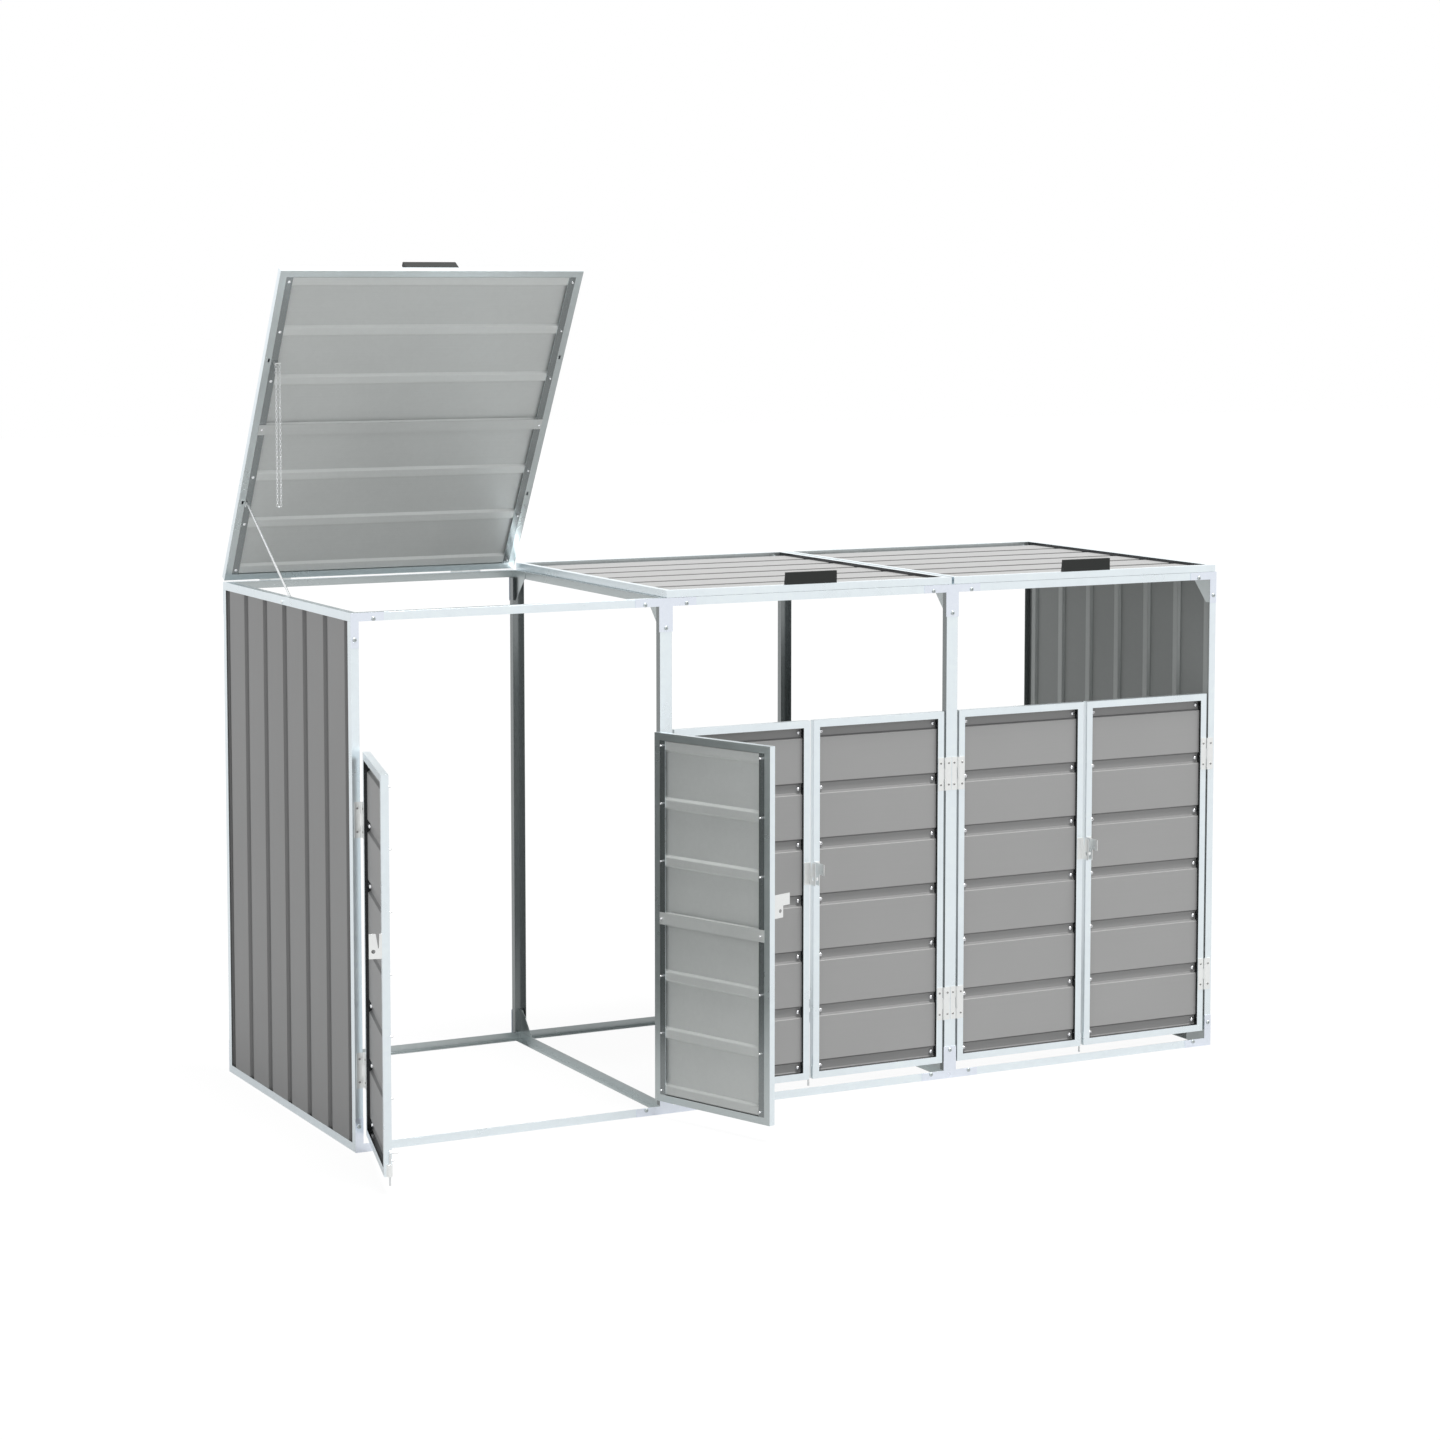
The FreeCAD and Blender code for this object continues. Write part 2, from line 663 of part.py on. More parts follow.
loop = outer.cut(inner).fuse(eye).cut(bore).removeSplitter().Solids[0]
write("lift_chain", [loop])

print(len(made), "nodes")
print("bays from", [round(b, 2) for b in bay_left], "clear", round(bay_clear, 2))
print("door width", round(door_width, 2), "height", round(door_height, 2))
print("mid posts", [round(m, 2) for m in mid_posts_x], "pin y", pin_y, "lid axis y", lid_axis_y)
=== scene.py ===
# %% [markdown]
# # A bin store in galvanised steel
# Three bays stand in a row in one light frame of bent angle. The sides, doors and lids are ribbed
# sheet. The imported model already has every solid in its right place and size, so this script
# only adds what makes them look made of metal: rounded bends, screws, chain links and finishes.
# We load that model first. Everything is in metres, in the same place as in the CAD.

# %% Load the frame
import json
import math

import bmesh
import bpy
from mathutils import Matrix, Vector


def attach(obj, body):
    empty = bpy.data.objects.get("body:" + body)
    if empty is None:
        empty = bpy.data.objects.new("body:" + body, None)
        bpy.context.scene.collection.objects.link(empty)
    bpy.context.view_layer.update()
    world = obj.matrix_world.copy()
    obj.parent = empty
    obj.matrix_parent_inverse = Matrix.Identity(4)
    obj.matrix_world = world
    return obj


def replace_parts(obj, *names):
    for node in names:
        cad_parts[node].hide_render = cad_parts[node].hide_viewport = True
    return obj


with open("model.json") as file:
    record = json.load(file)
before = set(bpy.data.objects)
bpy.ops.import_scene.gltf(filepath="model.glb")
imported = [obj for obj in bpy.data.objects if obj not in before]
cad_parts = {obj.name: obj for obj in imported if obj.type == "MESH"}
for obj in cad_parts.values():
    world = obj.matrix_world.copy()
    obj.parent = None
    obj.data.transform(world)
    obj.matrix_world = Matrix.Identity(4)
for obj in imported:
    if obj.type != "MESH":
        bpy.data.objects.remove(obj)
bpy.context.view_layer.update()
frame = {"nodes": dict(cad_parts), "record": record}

nodes = frame["nodes"]
record = frame["record"]
body_of = {n: b for b, ns in record["behaviour"]["bodies"].items() for n in ns}
hinge_of = {j["child"]: j for j in record["behaviour"]["joints"]}
bays = (1, 2, 3)
doors = [f"door_{bay}_{side}" for bay in bays for side in ("left", "right")]
lids = [f"lid_{bay}" for bay in bays]
print("nodes", len(nodes), "doors", len(doors), "lids", len(lids))

# %% [markdown]
# ## The camera
# A long lens stands in front of the left corner, a little above the lids. The picture was
# straightened so that upright posts stay upright. A small downward shift of the lens gives some
# of that. More shift would push the object out of the frame when the camera goes to other sides.
# The place and the turn could be tied to the object by a constraint. Plain numbers are used here,
# because they can be fitted to the picture one at a time.

# %% Place the camera
frame_pixels = 1440
focal_pixels = 3321.4
tilt_down = 0.08822
turn_right = 0.47372
camera_data = bpy.data.cameras.new("camera")
camera_data.sensor_width = 36
camera_data.lens = focal_pixels / frame_pixels * camera_data.sensor_width
camera_data.shift_y = -0.1
camera_data.clip_end = 60
camera = bpy.data.objects.new("camera", camera_data)
camera.location = (-3.3508, -6.1181, 1.7289)
camera.rotation_euler = (math.radians(90) - tilt_down, 0, -turn_right)
bpy.context.scene.collection.objects.link(camera)
bpy.context.scene.camera = camera
print("lens", round(camera_data.lens, 1), "mm")

# %% [markdown]
# ## The studio
# The light is a bright, even tent: a white world from all sides and one wide, soft sun high up
# and a little to the right. So the roof is the brightest side, the doors come next and the left
# side is the darkest. Metal shows what is around it, and rays that reflect see plain white. Soft
# boxes would light it as well, but their edges would show as bright shapes in the zinc.

# %% Light the studio
world = bpy.data.worlds.new("white tent")
bpy.context.scene.world = world
world.use_nodes = True
tent_nodes, tent_links = world.node_tree.nodes, world.node_tree.links
tent_nodes.clear()
path = tent_nodes.new("ShaderNodeLightPath")
ambient = tent_nodes.new("ShaderNodeBackground")
ambient.inputs["Color"].default_value = (0.97, 0.985, 1.0, 1)
ambient.inputs["Strength"].default_value = 0.5
white = tent_nodes.new("ShaderNodeBackground")
white.inputs["Color"].default_value = (1, 1, 1, 1)
white.inputs["Strength"].default_value = 1.0
seen = tent_nodes.new("ShaderNodeMath")
seen.operation = "MAXIMUM"
through = tent_nodes.new("ShaderNodeMath")
through.operation = "MAXIMUM"
choose = tent_nodes.new("ShaderNodeMixShader")
out = tent_nodes.new("ShaderNodeOutputWorld")
tent_links.new(path.outputs["Is Camera Ray"], seen.inputs[0])
tent_links.new(path.outputs["Is Glossy Ray"], seen.inputs[1])
tent_links.new(seen.outputs[0], through.inputs[0])
tent_links.new(path.outputs["Is Transmission Ray"], through.inputs[1])
tent_links.new(through.outputs[0], choose.inputs[0])
tent_links.new(ambient.outputs[0], choose.inputs[1])
tent_links.new(white.outputs[0], choose.inputs[2])
tent_links.new(choose.outputs[0], out.inputs["Surface"])

sun_data = bpy.data.lights.new("overhead", "SUN")
sun_data.energy = 3.6
sun_data.angle = math.radians(24)
sun_data.color = (1.0, 0.995, 0.98)
sun = bpy.data.objects.new("overhead", sun_data)
towards_sun = Vector((0.10, -0.27, 0.958))
sun.rotation_euler = towards_sun.to_track_quat("Z", "Y").to_euler()
bpy.context.scene.collection.objects.link(sun)
bpy.context.scene.view_settings.view_transform = "Standard"
print("sun", round(sun_data.energy, 2), "from", [round(c, 2) for c in towards_sun])

# %% [markdown]
# The floor is a large pale sheet, half a millimetre under the rails so that the two never share
# a plane. To the camera it glows nearly plain white, and the rest of it stays ordinary matt
# paint, on which a faint shadow can fall. Metal sees more of the paint than the camera does, so
# that an underside looks darker than a front.

# %% Lay the floor
floor_mesh = bpy.data.meshes.new("floor")
reach = 30
floor_corners = [(-reach, -reach, 0), (reach, -reach, 0), (reach, reach, 0), (-reach, reach, 0)]
floor_mesh.from_pydata(floor_corners, [], [(0, 1, 2, 3)])
floor = bpy.data.objects.new("floor", floor_mesh)
floor.location.z = -0.0005
bpy.context.scene.collection.objects.link(floor)
glow_for_camera = 0.86
glow_for_metal = 0.38
floor_paint = bpy.data.materials.new("studio floor")
floor_paint.use_nodes = True
floor_nodes, floor_links = floor_paint.node_tree.nodes, floor_paint.node_tree.links
floor_nodes.clear()
path = floor_nodes.new("ShaderNodeLightPath")
to_camera = floor_nodes.new("ShaderNodeMath")
to_camera.operation = "MULTIPLY"
to_camera.inputs[1].default_value = glow_for_camera
share = floor_nodes.new("ShaderNodeMath")
share.operation = "MULTIPLY_ADD"
share.inputs[1].default_value = glow_for_metal
matt = floor_nodes.new("ShaderNodeBsdfDiffuse")
matt.inputs["Color"].default_value = (0.42, 0.42, 0.42, 1)
glow = floor_nodes.new("ShaderNodeEmission")
glow.inputs["Strength"].default_value = 1.1
mix = floor_nodes.new("ShaderNodeMixShader")
out = floor_nodes.new("ShaderNodeOutputMaterial")
floor_links.new(path.outputs["Is Camera Ray"], to_camera.inputs[0])
floor_links.new(path.outputs["Is Glossy Ray"], share.inputs[0])
floor_links.new(to_camera.outputs[0], share.inputs[2])
floor_links.new(share.outputs[0], mix.inputs[0])
floor_links.new(matt.outputs[0], mix.inputs[1])
floor_links.new(glow.outputs[0], mix.inputs[2])
floor_links.new(mix.outputs[0], out.inputs["Surface"])
floor_mesh.materials.append(floor_paint)
print("floor reaches", reach, "m each way")

# %% [markdown]
# ## Finishes
# All the steel was dipped in zinc. On the frame the zinc is bright and smooth. The outside of
# the ribbed sheet is duller: grey, matt and drawn in one direction by the rollers. Pictures of
# real metal would repeat themselves, so every finish here is built from noise and from a pattern
# of cells, like the crystals of zinc. These helpers start a finish and make its patterns.

# %% Patterns for the finishes
def new_finish(name, metallic, roughness, specular=0.5):
    finish = bpy.data.materials.new(name)
    finish.use_nodes = True
    tree = finish.node_tree
    surface = tree.nodes["Principled BSDF"]
    surface.inputs["Metallic"].default_value = metallic
    surface.inputs["Roughness"].default_value = roughness
    surface.inputs["Specular IOR Level"].default_value = specular
    place = tree.nodes.new("ShaderNodeTexCoord")
    return finish, tree, surface, place.outputs["Object"]


def stretched(tree, coords, scale):
    mapping = tree.nodes.new("ShaderNodeMapping")
    mapping.inputs["Scale"].default_value = scale
    tree.links.new(coords, mapping.inputs["Vector"])
    return mapping.outputs["Vector"]


def noise(tree, coords, scale, detail=3.0, rough=0.5):
    node = tree.nodes.new("ShaderNodeTexNoise")
    node.inputs["Scale"].default_value = scale
    node.inputs["Detail"].default_value = detail
    node.inputs["Roughness"].default_value = rough
    tree.links.new(coords, node.inputs["Vector"])
    return node.outputs["Fac"]


def crystals(tree, coords, scale):
    node = tree.nodes.new("ShaderNodeTexVoronoi")
    node.inputs["Scale"].default_value = scale
    tree.links.new(coords, node.inputs["Vector"])
    split = tree.nodes.new("ShaderNodeSeparateColor")
    tree.links.new(node.outputs["Color"], split.inputs[0])
    return split.outputs[0]


print("patterns ready")

# %% [markdown]
# A pattern runs from 0 to 1, which is far too strong for metal. So each one is squeezed to a tone
# that stays within a few hundredths of 1. The tones are multiplied, and the result makes the
# base colour a little lighter or darker.

# %% Tones for the finishes
def tone(tree, fac, low, high, start=0.3, end=0.7):
    """A factor from low to high, as the pattern goes from start to end."""
    node = tree.nodes.new("ShaderNodeMapRange")
    node.inputs["From Min"].default_value = start
    node.inputs["From Max"].default_value = end
    node.inputs["To Min"].default_value = low
    node.inputs["To Max"].default_value = high
    tree.links.new(fac, node.inputs["Value"])
    return node.outputs["Result"]


def times(tree, first, *others):
    for other in others:
        node = tree.nodes.new("ShaderNodeMath")
        node.operation = "MULTIPLY"
        tree.links.new(first, node.inputs[0])
        tree.links.new(other, node.inputs[1])
        first = node.outputs[0]
    return first


def coloured(tree, surface, colour, fac):
    """The base colour, made lighter or darker by fac."""
    node = tree.nodes.new("ShaderNodeVectorMath")
    node.operation = "SCALE"
    node.inputs[0].default_value = colour
    tree.links.new(fac, node.inputs["Scale"])
    tree.links.new(node.outputs[0], surface.inputs["Base Color"])


def bumped(tree, surface, height, strength, depth):
    node = tree.nodes.new("ShaderNodeBump")
    node.inputs["Strength"].default_value = strength
    node.inputs["Distance"].default_value = depth
    tree.links.new(height, node.inputs["Height"])
    tree.links.new(node.outputs[0], surface.inputs["Normal"])


print("tones ready")

# %% [markdown]
# ### Bright zinc for the frame
# Smooth zinc is nearly a soft mirror with a bluish white of its own. Its crystals are about a
# centimetre wide and show only as a faint change of gloss, so that they stay very low in
# contrast here. Long faint streaks show how the dip ran off. Hinge leaves and hasps were bought
# in with a whiter, warmer zinc, and the corner plates with a slightly violet one. The small hinge
# screws are dull steel. Darker copies of the same zinc are painted shade: a duller one on the
# rails, gussets and tube backs where they look inwards, a darker one on the posts' inward faces
# and on the fins, and a nearly black one on the sides of the tubes that face the sheet, which
# still mirrors the screws beside it. The duller one is also the corner screws' own colour. A face
# as narrow as the sheet, a sheared edge, gets a nearly black zinc, and it draws a thin line round
# every part.

# %% Bright zinc
def bright_zinc(name, colour, roughness, crystal_size):
    finish, tree, surface, coords = new_finish(name, 0.92, roughness)
    flowers = crystals(tree, coords, 1 / crystal_size)
    clouds = noise(tree, coords, 7.0, 4.0)
    streaks = noise(tree, stretched(tree, coords, (60, 60, 3)), 1.0, 2.0)
    shade = times(tree, tone(tree, flowers, 0.99, 1.01, 0.0, 1.0), tone(tree, clouds, 0.985, 1.01),
                  tone(tree, streaks, 0.992, 1.004))
    coloured(tree, surface, colour, shade)
    gloss = times(tree, tone(tree, flowers, 0.94, 1.06, 0.0, 1.0),
                  tone(tree, clouds, roughness * 0.92, roughness * 1.1))
    tree.links.new(gloss, surface.inputs["Roughness"])
    bumped(tree, surface, noise(tree, coords, 900.0, 2.0), 0.02, 0.00003)
    return finish


frame_zinc = bright_zinc("frame zinc", (0.885, 0.96, 1.0), 0.30, 0.012)
# The next three are darker copies of the frame zinc, as painted shade; the first is also the corner
# screws' own colour.
dull_zinc_and_painted_shade = bright_zinc("dull zinc and painted shade", (0.55, 0.595, 0.60), 0.30, 0.012)
deep_painted_shade_zinc = bright_zinc("deep painted shade zinc", (0.26, 0.28, 0.283), 0.22, 0.012)
plate_zinc = bright_zinc("plate zinc", (0.86, 0.91, 1.0), 0.30, 0.006)
pressed_zinc = bright_zinc("pressed zinc", (0.92, 0.935, 0.93), 0.34, 0.004)
black_painted_shade_zinc = bright_zinc("black painted shade zinc", (0.07, 0.074, 0.078), 0.14, 0.012)
sheared = bright_zinc("sheared edge", (0.13, 0.132, 0.135), 0.45, 0.002)
screw_zinc = bright_zinc("screw zinc", (0.93, 0.94, 0.96), 0.25, 0.002)
wire_zinc = bright_zinc("wire zinc", (0.80, 0.82, 0.83), 0.28, 0.003)
dull_steel = bright_zinc("dull steel", (0.36, 0.36, 0.355), 0.38, 0.002)
print("zinc mixed")

# %% [markdown]
# ### Ribbed sheet, outside
# The sheet is matt grey outside. The rollers that press the ribs leave fine lines along them, so
# the noise is stretched along the ribs: along X on doors and lids, and along Z on the sides.
# The valleys are painted darker than the planks, as painted shade. Each vertex
# carries how deep it lies, in an attribute named "valley", and the colour follows that. The
# painted shade has one value on the slopes, which it reaches at once, and another on the valley's
# floor. The lids' and the side's greys are a little darker than the doors', as painted shade too.

# %% Sheet outside
X, Z = 0, 2


# A factor that follows the depth in the sheet: it paints shade into the colour where it is below
# one and a highlight where it is above one, with one value on the slopes and another on the
# valley's floor.
def painted_shade_and_light_by_depth(tree, slope_shade, floor_shade, start, end):
    deep = tree.nodes.new("ShaderNodeAttribute")
    deep.attribute_name = "valley"
    slope = tone(tree, deep.outputs["Fac"], 1.0, slope_shade, start, end)
    floor = tone(tree, deep.outputs["Fac"], 1.0, floor_shade / slope_shade, 0.8, 1.0)
    return times(tree, slope, floor)


def ribbed_grey(name, grey, along, slope_shade, floor_shade, shade_end):
    finish, tree, surface, coords = new_finish(name, 0.12, 0.52, 0.4)
    squeeze = tuple(6.0 if i == along else 900.0 for i in range(3))
    lines = noise(tree, stretched(tree, coords, squeeze), 1.0, 2.0)
    flecks = noise(tree, coords, 1400.0, 1.0)
    clouds = noise(tree, coords, 4.0, 5.0)
    valley_shade = painted_shade_and_light_by_depth(tree, slope_shade, floor_shade, 0.0, shade_end)
    shade = times(tree, tone(tree, flecks, 0.99, 1.01), tone(tree, clouds, 0.98, 1.02),
                  tone(tree, lines, 0.992, 1.008), valley_shade)
    coloured(tree, surface, (grey, grey, grey), shade)
    tree.links.new(tone(tree, clouds, 0.47, 0.57), surface.inputs["Roughness"])
    bumped(tree, surface, lines, 0.08, 0.00005)
    return finish


# The valleys are painted darker as painted shade, and the lids' and the side's greys are a little
# darker than the doors' as painted shade too.
door_sheet = ribbed_grey("door sheet", 0.385, X, 0.60, 0.94, 0.05)
lid_sheet = ribbed_grey("lid sheet", 0.37, X, 0.36, 0.7, 0.05)
side_sheet = ribbed_grey("side sheet", 0.355, Z, 0.70, 0.6, 0.10)
print("sheet rolled")

# %% [markdown]
# ### Ribbed sheet, inside
# The inside was never painted. It is bare zinc, lighter than the outside, with a blurred shine
# that picks up whatever stands in the bay. On the sides the inside is painted much darker, as
# painted shade. The ribs of the sides and lids are painted brighter, as a painted highlight. Seen
# from inside, a plank lies one sheet's thickness deep, a fifth of the rib, so that the ribs start
# there.

# %% Sheet inside
def bare_sheet(name, colour, along, rib_highlight):
    finish, tree, surface, coords = new_finish(name, 0.35, 0.5)
    squeeze = tuple(5.0 if i == along else 500.0 for i in range(3))
    lines = noise(tree, stretched(tree, coords, squeeze), 1.0, 2.0)
    flowers = crystals(tree, coords, 110.0)
    clouds = noise(tree, coords, 5.0, 4.0)
    # Beyond the plank's depth the ribs are painted brighter by this factor, as a painted highlight.
    ribs = painted_shade_and_light_by_depth(tree, rib_highlight, rib_highlight, 0.22, 0.3)
    shade = times(tree, tone(tree, flowers, 0.99, 1.01, 0.0, 1.0), tone(tree, clouds, 0.97, 1.03),
                  tone(tree, lines, 0.99, 1.01), ribs)
    coloured(tree, surface, colour, shade)
    tree.links.new(tone(tree, clouds, 0.46, 0.54), surface.inputs["Roughness"])
    bumped(tree, surface, lines, 0.06, 0.00005)
    return finish


# The ribs of the lids and sides are painted brighter as a painted highlight, and the sides' inside
# is painted darker as painted shade.
door_inside = bare_sheet("door inside", (0.65, 0.67, 0.66), X, 1.0)
lid_inside = bare_sheet("lid inside", (0.65, 0.67, 0.66), X, 1.12)
side_inside_painted_shade = bare_sheet("side inside painted shade", (0.28, 0.293, 0.29), Z, 1.5)
print("inside left bare")

# %% [markdown]
# ### Grained plastic for the handles
# The handles are black plastic with the fine leather-like grain of a mould. The grain is only a
# tenth of a millimetre deep, so a pattern of small cells in the bump is enough, and the mesh
# stays light.

# %% Handle plastic
handle_plastic, tree, surface, coords = new_finish("handle plastic", 0.0, 0.5, 0.35)
clouds = noise(tree, coords, 40.0, 3.0)
coloured(tree, surface, (0.016, 0.018, 0.017), tone(tree, clouds, 0.9, 1.12))
tree.links.new(tone(tree, clouds, 0.42, 0.58), surface.inputs["Roughness"])
bumped(tree, surface, crystals(tree, coords, 1800.0), 0.2, 0.0001)
print("plastic mixed")

# %% [markdown]
# ## Bent and cut edges
# A press brake can't fold sheet to a knife edge: an outer bend has a radius of one or two
# millimetres, and a sheared edge only loses its burr. A bevel modifier can make both if each edge
# has its own weight. An edge next to a face as narrow as the sheet is a sheared edge, and any
# other is a bend. The inside of a bend is tighter than its outside by the sheet's thickness.

# %% Tell bends from sheared edges
sheet = 0.0012
narrow = 1.7 * sheet
burr = 0.00022
bend_angle = 25


def corners(points):
    low = Vector([min(p[i] for p in points) for i in range(3)])
    high = Vector([max(p[i] for p in points) for i in range(3)])
    return low, high


def face_width(face, edge):
    a, b = edge.verts
    run = (b.co - a.co).normalized()
    side = face.normal.cross(run)
    reach = [(v.co - a.co).dot(side) for v in face.verts]
    return max(reach) - min(reach)


def is_sheared(face):
    """True for a face as narrow as the sheet, with a corner all round it."""
    if min(face_width(face, edge) for edge in face.edges) >= narrow:
        return False
    return all(edge.calc_face_angle(0) > math.radians(20) for edge in face.edges)


def weigh_edges(bm, bend, cut=burr, sharp=bend_angle):
    weight = bm.edges.layers.float.new("bevel_weight_edge")
    for edge in bm.edges:
        if len(edge.link_faces) != 2 or edge.calc_face_angle(0) < math.radians(sharp):
            continue
        thin = min(face_width(f, edge) for f in edge.link_faces)
        if thin < narrow:
            edge[weight] = cut / bend
        elif edge.is_convex:
            edge[weight] = 1.0
        else:
            edge[weight] = max(bend - sheet, cut) / bend


print("sheet", sheet, "burr", burr)

# %% [markdown]
# Each CAD node is copied solid by solid, and its triangles are joined to flat faces again. The
# solids have to stay apart: two that touch would share their corners, and then neither has a
# clear shading direction.

# %% Read the solids of a node
def solids_of(mesh):
    """The faces of each solid. A mesh lists its solids one after another, and one is complete
    when each of its edges was met once in each direction."""
    points = [tuple(round(c, 6) for c in v.co) for v in mesh.vertices]
    solids, faces, waiting = [], [], set()
    for polygon in mesh.polygons:
        ring = [points[i] for i in polygon.vertices]
        faces.append(ring)
        for a, b in zip(ring, ring[1:] + ring[:1]):
            if (b, a) in waiting:
                waiting.remove((b, a))
            else:
                waiting.add((a, b))
        if not waiting:
            solids.append(faces)
            faces = []
    return solids + [faces] if faces else solids


def cleaned(mesh):
    """The node's solids, each with its triangles joined to flat faces again."""
    bm = bmesh.new()
    for faces in solids_of(mesh):
        verts = {p: bm.verts.new(p) for p in dict.fromkeys(p for ring in faces for p in ring)}
        for ring in faces:
            if len(set(ring)) == len(ring):
                bm.faces.new([verts[p] for p in ring])
    bmesh.ops.dissolve_limit(bm, angle_limit=math.radians(0.5), verts=bm.verts, edges=bm.edges)
    bm.normal_update()
    return bm


print("solids in the corner plates", len(solids_of(nodes["corner_plates"].data)))

# %% [markdown]
# Every piece is made into an object the same way. It rides on the body that carries it in the
# CAD, so that it moves with its door or lid, and it takes its finishes as material slots.
# The bends could be cut into the mesh at once, but as a modifier they can still be changed. The
# bevel is followed by weighted normals, which keep the large faces flat in the light.

# %% Make the object and bevel it
def as_object(name, bm):
    mesh = bpy.data.meshes.new(name)
    bm.to_mesh(mesh)
    bm.free()
    made = bpy.data.objects.new(name, mesh)
    bpy.context.scene.collection.objects.link(made)
    return made


def finished_object(name, bm, finishes, body):
    piece = as_object(name, bm)
    for finish in finishes:
        piece.data.materials.append(finish)
    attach(piece, body)
    return piece


def add_bevel(piece, width, segments):
    bevel = piece.modifiers.new("bends", "BEVEL")
    bevel.width = width
    bevel.segments = segments
    bevel.limit_method = "WEIGHT"
    piece.data.polygons.foreach_set("use_smooth", [True] * len(piece.data.polygons))
    soft = piece.modifiers.new("even shading", "WEIGHTED_NORMAL")
    soft.keep_sharp = True
    soft.weight = 80


# %% [markdown]
# ## The frame
# Posts and rails are angles and channels of bent sheet. They shine on the outside of the store,
# and the faces that look into the bays are painted darker, as painted shade. Flat plates cover
# the corners, and small gussets stiffen them from behind; the gussets take the duller zinc, as
# painted shade. All of these could be drawn again, but a copy of the packed solid keeps every
# size and place, so we soften the copies.

# %% Bars, plates and gussets
def looks_inwards(face):
    """True for a face that isn't on the outside of the whole frame."""
    middle = face.calc_center_median()
    walls = list(zip(middle, bars_low)) + list(zip(middle, bars_high))
    return min(abs(at - wall) for at, wall in walls) > hair


def bent(node, finish, edge_finish=None, inward_painted_shade=None, bend=0.0018, cut=burr, segments=3,
         sharp=bend_angle):
    """A copy of a CAD node with rounded bends and dulled edges, which stands for it."""
    bm = cleaned(nodes[node].data)
    weigh_edges(bm, bend, cut, sharp)
    # Sheared edges take the edge finish, and faces that look inwards a darker zinc, as painted
    # shade.
    for face in bm.faces:
        if edge_finish and is_sheared(face):
            face.material_index = 1
        elif inward_painted_shade and looks_inwards(face):
            face.material_index = 2
    finishes = [f for f in (finish, edge_finish, inward_painted_shade) if f]
    piece = finished_object(node + "_finished", bm, finishes, body_of[node])
    add_bevel(piece, bend, segments)
    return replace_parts(piece, node)


hair = 0.0001
frame_bars = [n for n in nodes if "post" in n or "rail" in n]
bars_low, bars_high = corners([v.co for n in frame_bars for v in nodes[n].data.vertices])
for node in frame_bars:
    # Inward faces: a darker zinc on the rails and the darkest on the posts, as painted shade.
    bent(node, frame_zinc, sheared, deep_painted_shade_zinc if "post" in node else dull_zinc_and_painted_shade, bend=0.0008)
bent("corner_plates", plate_zinc, sheared, bend=0.0005)
# The gussets take the duller zinc, as painted shade.
bent("corner_gussets", dull_zinc_and_painted_shade, sheared, bend=0.0005)
print("bars", len(frame_bars))

# %% [markdown]
# ## Where each leaf lies
# Doors and lids are the same kind of panel, so it helps to describe one only once, lying flat:
# X across it, Y along it and Z out of its face. A matrix then takes that plan to where the leaf
# stands. One lid and two doors stand open, and they are turned shut about their hinge first.
# The end of the hinge's range that isn't zero says how far.

# %% Plans of the leaves
standing_open = ("door_1_left", "door_1_right", "lid_1")


def closing_turn(leaf):
    hinge = hinge_of[leaf]
    turn = max(hinge["range_deg"], key=abs) if leaf in standing_open else 0
    pin = Vector(hinge["pos_m"])
    swing = Matrix.Rotation(math.radians(turn), 4, Vector(hinge["axis"]))
    return Matrix.Translation(pin) @ swing @ Matrix.Translation(-pin)


def shut_box(leaf):
    """The corners of the leaf's frame as it lies when shut."""
    shut = closing_turn(leaf)
    return corners([shut @ v.co for v in nodes[leaf + "_frame"].data.vertices])


def plan_of(leaf):
    """The matrix from a leaf's own plan to the world, and the leaf's width and length."""
    low, high = shut_box(leaf)
    size = high - low
    if leaf in lids:
        axes, start, length = ((1, 0, 0), (0, 1, 0), (0, 0, 1)), (low.x, low.y, high.z), size.y
    else:
        axes, start, length = ((1, 0, 0), (0, 0, 1), (0, -1, 0)), low, size.z
    stand = Matrix.Translation(start) @ Matrix(axes).transposed().to_4x4()
    return closing_turn(leaf).inverted() @ stand, size.x, length


plans = {leaf: plan_of(leaf) for leaf in doors + lids}
for leaf in ("door_2_left", "lid_2"):
    print(leaf, "width", round(plans[leaf][1], 4), "length", round(plans[leaf][2], 4))

# %% [markdown]
# ## Tube frames of the doors and lids
# They are square tube, mitred at the corners, with a fin behind the long sides and a strap
# across the back. The tube's corners are rolled to nearly two millimetres. The back of tube and
# fin is one flat face, so it is cut along the tube's edge first. Then each face takes a finish by
# where it lies in the plan. The strap is bare inside zinc. The backs of the tube and of the fins,
# and the sides that face the sheet, take darker copies of the zinc as painted shade. A face that
# fits none of these keeps the bright zinc of the tube's front.

# %% Tube frames
tube = 0.015
fin = 0.015
tube_bend = 0.0017
on_tube, on_cut, on_strap, on_dull_painted_shade, on_deep_painted_shade, on_black_painted_shade = range(6)
# The last three finishes are darker copies of the zinc, as painted shade.
tube_finishes = [frame_zinc, sheared, door_inside, dull_zinc_and_painted_shade, deep_painted_shade_zinc, black_painted_shade_zinc]


def cut_faces(bm, facing, point, normal):
    """Split the faces that look one way along a plane through the point."""
    faces = [f for f in bm.faces if f.normal.dot(facing) > 0.99]
    edges = {e for f in faces for e in f.edges}
    verts = {v for f in faces for v in f.verts}
    bmesh.ops.bisect_plane(bm, geom=faces + list(edges) + list(verts), dist=1e-6, plane_co=point,
                           plane_no=normal)


